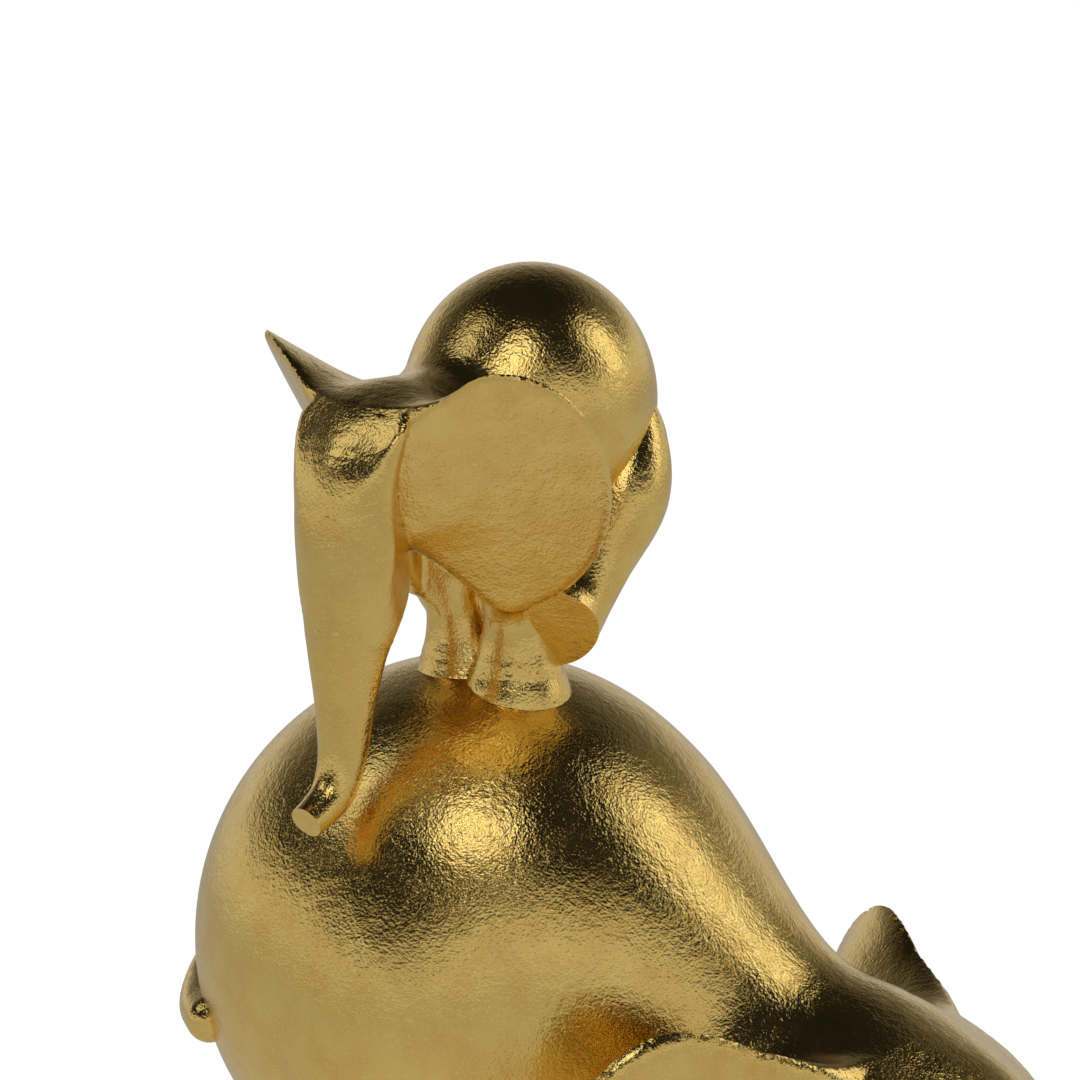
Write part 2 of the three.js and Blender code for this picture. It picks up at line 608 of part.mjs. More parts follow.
const owner = name => (name.startsWith('small') ? smallElephant : figurine);
for (const [name, solid] of Object.entries(castings)) addPiece(owner(name), name, solid, 'gilt');
for (const [name, solid] of Object.entries(pins)) addPiece(owner(name), name, solid, 'steel');

// Felt pads under the four large feet
const pads = {
  hind_pad_left: [hindFootBack, hindFootSpread],
  hind_pad_right: [hindFootBack, -hindFootSpread],
  fore_pad_left: [foreFootFront, foreFootSpread],
  fore_pad_right: [foreFootFront, -foreFootSpread],
};
for (const [name, [x, y]] of Object.entries(pads)) {
  addPiece(figurine, name, rod([x, y, 0], [0, 0, 1], padRadius, padThickness, 20), 'felt');
}

// The origin is the middle of the underside of the whole figurine
const extent = new THREE.Box3().setFromObject(figurine);
figurine.position.set(-(extent.min.x + extent.max.x) / 2, -(extent.min.y + extent.max.y) / 2, 0);

export default figurine;
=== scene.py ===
"""Finishes a gilded figurine of two elephants: smooth cast skins, grained gold and a plain studio."""
import math

import bpy
import numpy as np
from bpy.props import FloatProperty, FloatVectorProperty, PointerProperty
from mathutils import Matrix, Vector


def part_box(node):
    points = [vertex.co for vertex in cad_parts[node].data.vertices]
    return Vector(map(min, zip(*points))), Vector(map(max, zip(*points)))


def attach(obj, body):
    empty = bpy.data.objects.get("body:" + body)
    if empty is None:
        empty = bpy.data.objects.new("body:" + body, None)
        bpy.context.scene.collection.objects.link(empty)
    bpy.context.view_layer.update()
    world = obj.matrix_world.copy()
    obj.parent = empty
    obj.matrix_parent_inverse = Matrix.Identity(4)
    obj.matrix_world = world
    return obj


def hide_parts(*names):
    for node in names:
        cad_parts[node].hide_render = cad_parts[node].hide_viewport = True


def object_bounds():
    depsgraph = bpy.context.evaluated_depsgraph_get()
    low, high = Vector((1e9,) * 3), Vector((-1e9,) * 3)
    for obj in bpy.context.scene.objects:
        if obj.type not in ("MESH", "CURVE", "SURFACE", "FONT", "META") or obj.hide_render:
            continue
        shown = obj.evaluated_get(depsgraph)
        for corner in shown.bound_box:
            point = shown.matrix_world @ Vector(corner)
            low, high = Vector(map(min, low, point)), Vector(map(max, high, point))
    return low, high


bl_info = {
    "name": "Gilded elephant figurine",
    "version": (1, 0, 0),
    "blender": (4, 5, 0),
    "location": "View3D > Sidebar > Figurine",
    "description": "Builds the cast skins, the finishes and the studio of a gilded figurine of two elephants",
    "category": "Object",
}

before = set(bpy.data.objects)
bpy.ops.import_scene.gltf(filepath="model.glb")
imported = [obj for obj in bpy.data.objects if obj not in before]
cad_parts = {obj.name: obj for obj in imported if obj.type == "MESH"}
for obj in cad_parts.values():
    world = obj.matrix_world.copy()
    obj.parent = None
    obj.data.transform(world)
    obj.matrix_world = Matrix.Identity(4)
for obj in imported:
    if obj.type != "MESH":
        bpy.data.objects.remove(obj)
cad_box = [list(corner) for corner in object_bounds()]

MM = 0.001

# Form algebra: a form takes points in millimetres, one a row, and gives their signed distances

# A tube's nearest place is sought in this many steps a stretch, then refined this often, by at most this much
TUBE_STEPS, TUBE_REFINEMENTS, TUBE_REFINEMENT = 4, 2, 0.3


def unit(v):
    v = np.asarray(v, float)
    return v / np.linalg.norm(v)


def ellipsoid(centre, radii):
    centre, radii = np.array(centre, float), np.array(radii, float)

    def form(p):
        q = (p - centre) / radii
        near = np.linalg.norm(q, axis=1)
        slope = np.linalg.norm(q / radii, axis=1)
        return near * (near - 1) / np.maximum(slope, 1e-9)
    return form


def tapered_tube(stations):
    """A smooth tube through stations (x, y, z, radius)."""
    s = np.array(stations, float)
    ends = np.vstack([2 * s[0] - s[1], s, 2 * s[-1] - s[-2]])
    last = len(s) - 1
    cubic = []
    for k in range(last):
        a, b, c, d = ends[k:k + 4]
        cubic.append(0.5 * np.array([2 * b, c - a, 2 * a - 5 * b + 4 * c - d, 3 * b - a - 3 * c + d]))
    cubic = np.array(cubic)

    def at(u):
        k = np.clip(u.astype(int), 0, last - 1)
        t = (u - k)[:, None]
        m = cubic[k]
        point = m[:, 0] + t * (m[:, 1] + t * (m[:, 2] + t * m[:, 3]))
        slope = m[:, 1] + t * (2 * m[:, 2] + 3 * t * m[:, 3])
        return point, slope

    line = at(np.linspace(0, last, last * TUBE_STEPS + 1))[0]

    def form(p):
        best = np.full(len(p), np.inf)
        where = np.zeros(len(p))
        for k in range(len(line) - 1):
            a, d = line[k], line[k + 1] - line[k]
            q = p - a[:3]
            t = np.clip(q @ d[:3] / (d[:3] @ d[:3]), 0, 1)
            reach = np.linalg.norm(q - t[:, None] * d[:3], axis=1) - a[3] - t * d[3]
            closer = reach < best
            best[closer] = reach[closer]
            where[closer] = ((k + t) / TUBE_STEPS)[closer]
        for _ in range(TUBE_REFINEMENTS):
            centre, slope = at(where)
            along = slope[:, :3]
            step = ((p - centre[:, :3]) * along).sum(1) / (along * along).sum(1)
            where = np.clip(where + np.clip(step, -TUBE_REFINEMENT, TUBE_REFINEMENT), 0, last)
        centre = at(where)[0]
        return np.linalg.norm(p - centre[:, :3], axis=1) - centre[:, 3]
    return form


def blended(a, b, radius):
    h = np.maximum(radius - np.abs(a - b), 0) / radius
    return np.minimum(a, b) - h * h * radius / 4


def blend(first, *others):
    """A form blended with others in turn, each given with its blend radius."""
    def form(p):
        d = first(p)
        for other, radius in others:
            d = blended(d, other(p), radius)
        return d
    return form


def meet(f, g):
    return lambda p: np.maximum(f(p), g(p))


def beyond(f):
    return lambda p: -f(p)


def both_sides(f):
    return lambda p: f(p * (1, 0, 1) + np.abs(p) * (0, 1, 0))


def half_space(point, normal):
    normal = unit(normal)
    level = normal @ np.array(point, float)
    return lambda p: p @ normal - level


class Place:
    """Scales a form about its own origin, tips its nose up, turns it and carries it to a place."""

    def __init__(self, start, end, yaw=0.0, pitch=0.0, scale=1.0):
        turn = np.array([[math.cos(yaw), -math.sin(yaw), 0], [math.sin(yaw), math.cos(yaw), 0], [0, 0, 1]])
        tip = np.array([
            [math.cos(pitch), 0, -math.sin(pitch)], [0, 1, 0], [math.sin(pitch), 0, math.cos(pitch)]])
        self.turn = turn @ tip
        self.start, self.end, self.scale = np.array(start, float), np.array(end, float), scale

    def inward(self, p):
        return (p - self.end) @ self.turn / self.scale + self.start

    def outward(self, p):
        return (p - self.start) @ self.turn.T * self.scale + self.end

    def form(self, f):
        return lambda p: self.scale * f(self.inward(p))


# Meshing: one corner in each cell that the surface crosses, pulled onto the planes that meet there

# The grid is first felt out in blocks of this many cells. A block is near within this many of its sides
BLOCK, BLOCK_REACH = 6, 1.15
FAR = 1e3
POINTS_AT_ONCE = 100000
# A crossing is narrowed this often, and each cut lies between these shares of what is left
NARROWINGS, CUT_LOW, CUT_HIGH = 5, 0.08, 0.92
# How much a corner holds to the middle of its crossings
HOLD = 0.03
# Corners whose normals agree at least this well are snapped onto the surface, this often
SMOOTH_AGREEMENT, SNAPS = 0.9, 2


def slopes(form, p, h=0.02):
    out = np.empty_like(p)
    for axis in range(3):
        step = np.zeros(3)
        step[axis] = h
        out[:, axis] = form(p + step) - form(p - step)
    return out / np.maximum(np.linalg.norm(out, axis=1), 1e-12)[:, None]


def grid_values(form, low, count, cell):
    """Distances at the grid's points: exact near the surface, and only rough far from it."""
    tall = [math.ceil((n - 1) / BLOCK) for n in count]
    corner = np.stack(np.meshgrid(*[np.arange(t) * BLOCK for t in tall], indexing="ij"), -1).reshape(-1, 3)
    rough = form(low + (corner + BLOCK / 2) * cell)
    values = np.sign(rough).reshape(tall) * FAR
    for axis in range(3):
        values = np.repeat(values, BLOCK, axis)
    values = np.pad(values, [(0, 1)] * 3, mode="edge")[:count[0], :count[1], :count[2]]
    wanted = np.zeros(count, bool)
    for i, j, k in corner[np.abs(rough) < BLOCK * cell * BLOCK_REACH + cell]:
        wanted[i:i + BLOCK + 1, j:j + BLOCK + 1, k:k + BLOCK + 1] = True
    spots = np.argwhere(wanted)
    parts = np.array_split(spots, len(spots) // POINTS_AT_ONCE + 1)
    values[tuple(spots.T)] = np.concatenate([form(low + part * cell) for part in parts])
    return values


def edge_hits(form, values, low, cell):
    """Crossings of the surface with the grid's edges, its normals there, and each edge's cells and sense."""
    inside = values < 0
    hits, outs, rounds, flips = [], [], [], []
    for axis in range(3):
        first = [slice(0, -1) if a == axis else slice(1, -1) for a in range(3)]
        second = [slice(1, None) if a == axis else slice(1, -1) for a in range(3)]
        spots = np.argwhere(inside[tuple(first)] != inside[tuple(second)])
        spots += [0 if a == axis else 1 for a in range(3)]
        step, u, v = (np.eye(3, dtype=int)[(axis + turn) % 3] for turn in range(3))
        a, b = low + spots * cell, low + (spots + step) * cell
        fa, fb = values[tuple(spots.T)], values[tuple((spots + step).T)]
        flips.append(fa < 0)
        for _ in range(NARROWINGS):
            t = np.clip(fa / (fa - fb), CUT_LOW, CUT_HIGH)[:, None]
            mid = a + t * (b - a)
            fm = form(mid)
            left = (fm < 0) == (fa < 0)
            a, b = np.where(left[:, None], mid, a), np.where(left[:, None], b, mid)
            fa, fb = np.where(left, fm, fa), np.where(left, fb, fm)
        hit = np.where((np.abs(fa) < np.abs(fb))[:, None], a, b)
        hits.append(hit)
        outs.append(slopes(form, hit))
        rounds.append(np.stack([spots, spots - u, spots - u - v, spots - v], 1))
    return map(np.concatenate, (hits, outs, rounds, flips))


def surface(form, low, high, cell):
    """Vertices and quads of the form's surface, with its creases kept crisp."""
    low = np.array(low, float) - cell
    count = np.ceil((np.array(high, float) - low) / cell).astype(int) + 2
    values = grid_values(form, low, count, cell)
    hits, outs, rounds, flips = edge_hits(form, values, low, cell)
    numbers = rounds @ np.array([count[1] * count[2], count[2], 1])
    cells, quads = np.unique(numbers, return_inverse=True)
    quads = quads.reshape(-1, 4)
    flat = quads.ravel()

    def gathered(amounts):
        return np.bincount(flat, np.repeat(amounts, 4), len(cells))

    share = gathered(np.ones(len(hits)))
    middle = np.stack([gathered(hits[:, i]) for i in range(3)], 1) / share[:, None]
    square = np.empty((len(cells), 3, 3))
    pull = np.empty((len(cells), 3))
    off = (outs * hits).sum(1)
    for i in range(3):
        for j in range(3):
            square[:, i, j] = gathered(outs[:, i] * outs[:, j])
        pull[:, i] = gathered(outs[:, i] * off)
    pull -= np.einsum("nij,nj->ni", square, middle)
    soft = HOLD * share[:, None, None] * np.eye(3)
    points = middle + np.linalg.solve(square + soft, pull[..., None])[..., 0]
    corner = low + np.stack(np.unravel_index(cells, count), 1) * cell
    points = np.clip(points, corner, corner + cell)
    mean = np.stack([gathered(outs[:, i]) for i in range(3)], 1) / share[:, None]
    smooth = np.linalg.norm(mean, axis=1) > SMOOTH_AGREEMENT
    for _ in range(SNAPS):
        p = points[smooth]
        points[smooth] = p - form(p)[:, None] * slopes(form, p)
    quads[~flips] = quads[~flips][:, ::-1]
    return points, quads


# Settings that a user would change


class FigurineShape(bpy.types.PropertyGroup):
    """Sizes of the two elephants"""
    body_height: FloatProperty(
        name="Body height", description="Height of the middle of the large body",
        default=0.1214, min=0.09, max=0.16, precision=4, unit="LENGTH")
    body_size: FloatVectorProperty(
        name="Body half sizes", description="Half of the large body's length, width and height",
        default=(0.0603, 0.057, 0.0606), size=3, precision=4, unit="LENGTH")
    ear_height: FloatProperty(
        name="Ear half height", description="Half of the height of the small elephant's ears",
        default=0.0323, min=0.02, max=0.04, precision=4, unit="LENGTH")
    ear_width: FloatProperty(
        name="Ear half width", description="Half of the width of the small elephant's ears",
        default=0.0224, min=0.015, max=0.03, precision=4, unit="LENGTH")
    large_head_scale: FloatProperty(
        name="Large head", description="Size of the large head, as a multiple of the small one",
        default=1.95, min=1.5, max=2.4, subtype="FACTOR")
    large_head_tip: FloatProperty(
        name="Large head tip", description="How far the large head's nose is tipped up",
        default=math.radians(33), subtype="ANGLE", unit="ROTATION")
    large_head_turn: FloatProperty(
        name="Large head turn", description="How far the large head is turned to its left",
        default=math.radians(-5), subtype="ANGLE", unit="ROTATION")
    small_turn: FloatProperty(
        name="Small elephant turn", description="How far the small elephant is turned from the large one",
        default=math.radians(-116), subtype="ANGLE", unit="ROTATION")
    large_cell: FloatProperty(
        name="Large mesh cell", description="Cell size of the large elephant's skins",
        default=0.0013, min=0.0008, max=0.006, precision=4, unit="LENGTH")
    small_cell: FloatProperty(
        name="Small mesh cell", description="Cell size of the small elephant's skins",
        default=0.00085, min=0.0005, max=0.004, precision=5, unit="LENGTH")


def colour_property(name, description, colour):
    return FloatVectorProperty(name=name, description=description, default=colour, size=4,
                               min=0, max=1, subtype="COLOR")


class FigurineFinish(bpy.types.PropertyGroup):
    """Colours and grain of the finishes"""
    gold: colour_property("Gold", "Colour of the plating", (0.9, 0.65, 0.2, 1))
    deep_gold: colour_property("Deep gold", "Colour of the plating where it is thin", (0.8, 0.5, 0.13, 1))
    pale_gold: colour_property("Pale gold", "Colour of the bright specks", (1.0, 0.8, 0.38, 1))
    steel: colour_property("Steel", "Colour of the pins", (0.55, 0.56, 0.57, 1))
    felt: colour_property("Felt", "Colour of the pads", (0.1, 0.063, 0.036, 1))
    grain_size: FloatProperty(
        name="Grain size", description="Size of the grain in the plating",
        default=0.0006, min=0.0001, max=0.002, precision=5, unit="LENGTH")
    grain_depth: FloatProperty(
        name="Grain depth", description="Depth of the grain in the plating",
        default=0.00012, min=0, max=0.0002, precision=6, unit="LENGTH")
    polish: FloatProperty(
        name="Roughness", description="Roughness of the plating between its grains",
        default=0.14, min=0.05, max=0.6, subtype="FACTOR")


class FigurineStudio(bpy.types.PropertyGroup):
    """Camera, table and lights"""
    azimuth: FloatProperty(
        name="Camera azimuth", description="Turn of the camera round the figurine",
        default=math.radians(16), subtype="ANGLE", unit="ROTATION")
    elevation: FloatProperty(
        name="Camera elevation", description="Height of the camera above the horizon",
        default=math.radians(12), subtype="ANGLE", unit="ROTATION")
    distance: FloatProperty(
        name="Camera distance", description="Distance of the camera from the figurine",
        default=6, min=1, max=20, unit="LENGTH")
    frame_width: FloatProperty(
        name="Frame width", description="Width of the picture at the figurine",
        default=0.2268, min=0.1, max=1, precision=4, unit="LENGTH")
    table: colour_property("Table", "Colour of the table top", (0.86, 0.85, 0.83, 1))
    level: FloatProperty(
        name="Light level", description="Brightness of all the lights together",
        default=1, min=0, max=4, subtype="FACTOR")


def settings(context):
    return context.scene.figurine_shape, context.scene.figurine_finish, context.scene.figurine_studio


# The two elephants as forms, in millimetres. The small one has a frame of its own, where it faces +X

SMALL_EAR_FRAME = (23.3, 24.1, 48.3), (0.371, 0.302, 0.878), (0.686, 0.548, -0.478)
LARGE_EAR_FRAME = (24.3, 24.6, 48.4), (0.287, 0.383, 0.878), (0.533, 0.698, -0.478)
# An ear's disc: its inset from the outline, its rim's thickness and rounding, and its cone's length
EAR_INSET, EAR_RIM, EAR_EDGE, EAR_CONE = 0.5, 1.6, 1.8, 19.0
# The blend of the ears with the skull and trunk
EAR_BLEND = 17
# The pocket over an ear's face: its height, and its edge's rounding, which grows at the cheek and the brow
POCKET_HEIGHT, POCKET_EDGE, CHEEK_EDGE, BROW_EDGE = 30.0, 1.2, 9, 4
# Where those two begin along the ear's rise, and how far along it and across they take to grow
CHEEK_START, CHEEK_RISE, CHEEK_ACROSS = -2, 16, 20
BROW_START, BROW_RISE, BROW_ACROSS = -4, 10, 12
# The blend of the large head with the body, the height below which its trunk is cut, and the feet's bottom
LARGE_HEAD_BLEND, TRUNK_CUT_BELOW, FEET_BOTTOM = 12, 26, 1.9
# Where the small elephant stands on the large one's back, and how deep its frame sinks below the top
SMALL_STANDS_AT, SMALL_SINKS = (2.9, -6.2), 5.4
HIND_PAD_AT = (-15.0, 26.0)


class Ear:
    """An ear's flat oval face: its centre, its normal, its up and side directions, and its half sizes."""

    def __init__(self, shape, centre, up, face):
        self.centre, self.normal = np.array(centre, float), unit(face)
        up = np.array(up, float)
        self.up = unit(up - (up @ self.normal) * self.normal)
        self.side = np.cross(self.normal, self.up)
        self.height, self.width = shape.ear_height / MM, shape.ear_width / MM
        self.radius = (self.height + self.width) / 2

    def read(self, p):
        """Height over the face, rise, side and reach past the outline, with the two sides folded into one."""
        q = p * (1, 0, 1) + np.abs(p) * (0, 1, 0) - self.centre
        face, rise, side = q @ self.normal, q @ self.up, q @ self.side
        outline = (np.hypot(rise / self.height, side / self.width) - 1) * self.radius
        return face, rise, side, outline


def head_form(ear, stations):
    """Skull and trunk in one tube, and disc ears on cones. Each ear's face lies in a pocket."""
    tube = tapered_tube(stations)
    cone_slope = ear.radius / EAR_CONE

    def form(p):
        face, rise, side, outline = ear.read(p)
        rim = outline + EAR_INSET
        cone = (rim - (face + EAR_RIM) * cone_slope) / math.hypot(1, cone_slope)
        disc = -blended(-np.maximum(rim, cone), -face, EAR_EDGE)
        whole = blended(tube(p), disc, EAR_BLEND)
        t = np.clip((CHEEK_START - rise) / CHEEK_RISE, 0, 1)
        cheek = t * t * (3 - 2 * t) * np.clip(side / CHEEK_ACROSS, 0, 1)
        brow = np.clip(side / BROW_ACROSS, 0, 1) * np.clip((rise - BROW_START) / BROW_RISE, 0, 1)
        pocket = np.maximum(np.maximum(outline, -face), face - POCKET_HEIGHT)
        return -blended(-whole, pocket, POCKET_EDGE + CHEEK_EDGE * cheek + BROW_EDGE * brow)
    return form


class LargeElephant:
    """The large elephant's forms."""

    def __init__(self, shape):
        height = shape.body_height / MM
        size = [half / MM for half in shape.body_size]
        at = (79, 0, height - 41.9)
        turn, tip, scale = shape.large_head_turn, shape.large_head_tip, shape.large_head_scale
        place = Place((32, 0, 55), at, turn, tip, scale)
        haunch = both_sides(ellipsoid((-4, size[1] - 27, height - 6), (34, 29.5, 40)))
        hind_leg = both_sides(tapered_tube([
            (-4, 30, height - 3.4, 22), (-3, 34, height - 19.4, 18.5), (-6, 30, height - 51.4, 13.5),
            (-14, 27, 30, 12.5), (-15, 26, 14, 15), (-15, 26, 5, 18.5), (-15, 26, -4, 20.5)]))
        fore_leg = both_sides(tapered_tube([
            (37, 16, height - 33.4, 24), (39, 17, 60, 15), (38, 16, 32, 12.5), (37, 15, 14, 14.5),
            (37, 15, 5, 18), (37, 15, -4, 20)]))
        ball = ellipsoid((-2, 0, height), size)
        neck = tapered_tube([(25, 0, height - 13.4, 38), (71, 0, height - 30.4, 27)])
        self.torso = blend(ball, (neck, 24), (hind_leg, 5), (haunch, 3), (fore_leg, 9))
        trunk = np.array([
            (111, 0, at[2] - 18, 24.5), (119, 0, at[2] - 33, 20), (121, 0, at[2] - 46, 15.5),
            (122, 0, 23, 12.3), (126, 0, 15, 10.2), (134, 0, 11.5, 8.8), (148, 0, 13, 7.2)])
        trunk = np.column_stack([place.inward(trunk[:, :3]), trunk[:, 3] / place.scale])
        skull = [(16, 0, 61, 11), (30, 0, 60, 13), (37, 0, 53.5, 14), (40, 0, 45.5, 14)]
        self.head = place.form(head_form(Ear(shape, *LARGE_EAR_FRAME), np.vstack([skull, trunk])))
        self.trunk_end = half_space((141, 0, 12), (1, 0, 0.15))
        self.tail = tapered_tube([
            (-54, 9, height - 4.4, 7.5), (-59.5, 3, height - 9.9, 6), (-60.5, -5, height - 13.4, 5.2),
            (-59, -13, height - 15.4, 5), (-55.5, -20, height - 16.4, 5.1)])

    def whole(self, p):
        head = self.head(p)
        head = np.where(p[:, 2] < TRUNK_CUT_BELOW, np.maximum(head, self.trunk_end(p)), head)
        return np.maximum(blended(self.torso(p), head, LARGE_HEAD_BLEND), FEET_BOTTOM - p[:, 2])


class SmallElephant:
    """The small elephant's forms, in its own frame, and its place on the large one's back."""

    def __init__(self, shape):
        large = LargeElephant(shape)
        back = (*SMALL_STANDS_AT, (shape.body_height + shape.body_size[2]) / MM - SMALL_SINKS)
        self.place = Place((0, 0, 0), back, shape.small_turn)
        ball = ellipsoid((-11, 0, 60), (27.5, 26, 29))
        chest = ellipsoid((1, 0, 42), (13, 14, 20))
        neck = tapered_tube([(-6, 0, 59, 17), (20, 0, 55.5, 13)])
        fore_leg = both_sides(tapered_tube([
            (3, 8.5, 40, 9), (4, 8.5, 24, 6.8), (2.5, 8, 15.5, 6.8), (1.3, 7.3, 7, 9.3),
            (1, 7, 0, 11.7), (1, 7, -8, 12.4)]))
        torso = blend(ball, (chest, 10), (neck, 8), (fore_leg, 3))
        line = [
            (18, 0, 57, 11), (30, 0, 57, 13.8), (37.6, 0, 51.5, 15), (41, 0, 42.5, 14.2),
            (42.5, 0, 33.5, 13), (43.8, 0, 25.5, 11.4), (45.2, 0, 19.5, 9.6), (46, 0, 13.5, 8.1),
            (46.6, 0, 4, 6.4), (47.4, 0, -6.4, 5.2), (50, 0, -13.5, 4.6), (55, 0, -17.4, 4),
            (62, 0, -20.3, 3.4)]
        trunk_end = half_space((58.6, 0, -19.2), (0.87, 0, -0.5))
        head = meet(head_form(Ear(shape, *SMALL_EAR_FRAME), line), trunk_end)
        self.whole = meet(blend(torso, (head, 6)), beyond(lambda p: large.torso(self.place.outward(p))))
        leg = tapered_tube([
            (-24, 17, 64, 2.5), (-23.5, 18, 53, 7), (-19.5, 19, 41, 9.3), (-11, 18.5, 28, 7.6),
            (-4.5, 17.6, 20.5, 8.3), (1, 17.3, 16.5, 10.2), (7, 17.3, 13, 11)])
        self.hind_leg = meet(leg, half_space((2, 17.3, 15.6), (0.72, 0.5, -0.48)))
        self.tail = tapered_tube([(-34, 0, 66, 3.2), (-40, 1, 62, 2.8), (-41, 3, 56, 2.4), (-39, 6, 52, 2.6)])


# Shader node groups and materials

# The coarse grain's scale and height as shares of the fine one's, and the slow wave's own scale and height
COARSE_SCALE, COARSE_HEIGHT, WAVE_SCALE, WAVE_HEIGHT = 0.31, 1.3, 85, 2.5
CLOUD_SCALE = 130
# The stretches of noise that turn into specks and clouds
SPECKS, CLOUDS = (0.56, 0.72), (0.35, 0.68)
# How much of the deep and the pale gold shows at most, and how much rougher the clouded gold is
THIN_SHARE, SPECK_SHARE, CLOUD_ROUGHNESS = 0.55, 0.5, 0.07
STEEL_GRAIN, STEEL_GRAIN_DEPTH, STEEL_ROUGHNESS = 2200.0, 0.00001, (0.3, 0.45)
DULL_STEEL = (0.42, 0.43, 0.45, 1)
FELT_GRAIN, FIBRE_SCALE, FIBRE_CURL, FIBRE_DEPTH, FELT_SHEEN = 1400.0, 900, 2.5, 0.0002, 0.4
FIBRES, FLECKS, FELT_GRAIN_SHARE = (0.3, 0.8), (0.4, 0.7), 0.3
PALE_FIBRE, DARK_FELT, FELT_ROUGHNESS = (0.19, 0.13, 0.08, 1), (0.07, 0.045, 0.027, 1), (0.85, 1.0)


class Nodes:
    """Short ways to add and join shader nodes in one tree."""

    def __init__(self, tree):
        self.tree = tree

    def add(self, kind, inputs=None, **options):
        node = self.tree.nodes.new("ShaderNode" + kind)
        for name, setting in options.items():
            setattr(node, name, setting)
        for name, given in (inputs or {}).items():
            self.put(node.inputs[name], given)
        return node

    def put(self, socket, given):
        if isinstance(given, bpy.types.NodeSocket):
            self.tree.links.new(given, socket)
        else:
            socket.default_value = given

    def math(self, operation, first, second):
        node = self.add("Math", operation=operation)
        self.put(node.inputs[0], first)
        self.put(node.inputs[1], second)
        return node.outputs[0]

    def spread(self, value, low, high, to_low=0.0, to_high=1.0):
        return self.add("MapRange", {"Value": value, "From Min": low, "From Max": high,
                                     "To Min": to_low, "To Max": to_high}).outputs[0]

    def mix(self, share, first, second):
        node = self.add("Mix", data_type="RGBA")
        for number, given in ((0, share), (6, first), (7, second)):
            self.put(node.inputs[number], given)
        return node.outputs[2]

    def noise(self, place, scale, detail, **inputs):
        return self.add("TexNoise", {"Vector": place, "Scale": scale, "Detail": detail, **inputs}).outputs[0]


def node_group(name, inputs, outputs):
    """An empty shader node group with float inputs (name: default) and float outputs."""
    group = bpy.data.node_groups.new(name, "ShaderNodeTree")
    for name, default in inputs.items():
        socket = group.interface.new_socket(name, in_out="INPUT", socket_type="NodeSocketFloat")
        socket.default_value = default
    for name in outputs:
        group.interface.new_socket(name, in_out="OUTPUT", socket_type="NodeSocketFloat")
    nodes = Nodes(group)
    given = group.nodes.new("NodeGroupInput").outputs
    made = group.nodes.new("NodeGroupOutput").inputs
    return nodes, given, made


def grain_group():
    """Fine grain and slow unevenness, in object space: a height, bright specks and soft clouds."""
    name = "surface grain"
    if name in bpy.data.node_groups:
        return bpy.data.node_groups[name]
    inputs = {"Grain Scale": 3000.0, "Wave": 1.0}
    nodes, given, made = node_group(name, inputs, ("Height", "Specks", "Clouds"))
    place = nodes.add("TexCoord").outputs["Object"]
    scale = given["Grain Scale"]
    fine = nodes.noise(place, scale, 2)
    coarse = nodes.noise(place, nodes.math("MULTIPLY", scale, COARSE_SCALE), 3)
    slow = nodes.noise(place, WAVE_SCALE, 1)
    height = nodes.math("ADD", nodes.math("MULTIPLY", coarse, COARSE_HEIGHT), fine)
    wave = nodes.math("MULTIPLY", slow, nodes.math("MULTIPLY", given["Wave"], WAVE_HEIGHT))
    nodes.put(made["Height"], nodes.math("ADD", height, wave))
    nodes.put(made["Specks"], nodes.spread(fine, *SPECKS))
    nodes.put(made["Clouds"], nodes.spread(nodes.noise(place, CLOUD_SCALE, 4), *CLOUDS))
    return nodes.tree


def new_material(name):
    material = bpy.data.materials.new(name)
    material.use_nodes = True
    nodes = Nodes(material.node_tree)
    return material, nodes, material.node_tree.nodes["Principled BSDF"].inputs


def grained(nodes, scale, wave):
    group = nodes.add("Group", node_tree=grain_group())
    group.inputs["Grain Scale"].default_value = scale
    group.inputs["Wave"].default_value = wave
    return group.outputs


def gilt(finish):
    """Grained gold plating."""
    name = "gold plating"
    if name in bpy.data.materials:
        return bpy.data.materials[name]
    material, nodes, shader = new_material(name)
    grain = grained(nodes, 1 / finish.grain_size, 1.0)
    base = nodes.mix(nodes.math("MULTIPLY", grain["Clouds"], THIN_SHARE), finish.gold, finish.deep_gold)
    base = nodes.mix(nodes.math("MULTIPLY", grain["Specks"], SPECK_SHARE), base, finish.pale_gold)
    nodes.put(shader["Base Color"], base)
    shader["Metallic"].default_value = 1
    roughest = finish.polish + CLOUD_ROUGHNESS
    nodes.put(shader["Roughness"], nodes.spread(grain["Clouds"], 0, 1, finish.polish, roughest))
    bump = nodes.add("Bump", {"Strength": 1.0, "Distance": finish.grain_depth, "Height": grain["Height"]})
    nodes.put(shader["Normal"], bump.outputs[0])
    return material


def steel(finish):
    """Drawn steel with fine grain."""
    material, nodes, shader = new_material("drawn steel")
    grain = grained(nodes, STEEL_GRAIN, 0.0)
    nodes.put(shader["Base Color"], nodes.mix(grain["Clouds"], finish.steel, DULL_STEEL))
    shader["Metallic"].default_value = 1
    nodes.put(shader["Roughness"], nodes.spread(grain["Specks"], 0, 1, *STEEL_ROUGHNESS))
    bump = nodes.add("Bump", {"Strength": 0.5, "Distance": STEEL_GRAIN_DEPTH, "Height": grain["Height"]})
    nodes.put(shader["Normal"], bump.outputs[0])
    return material


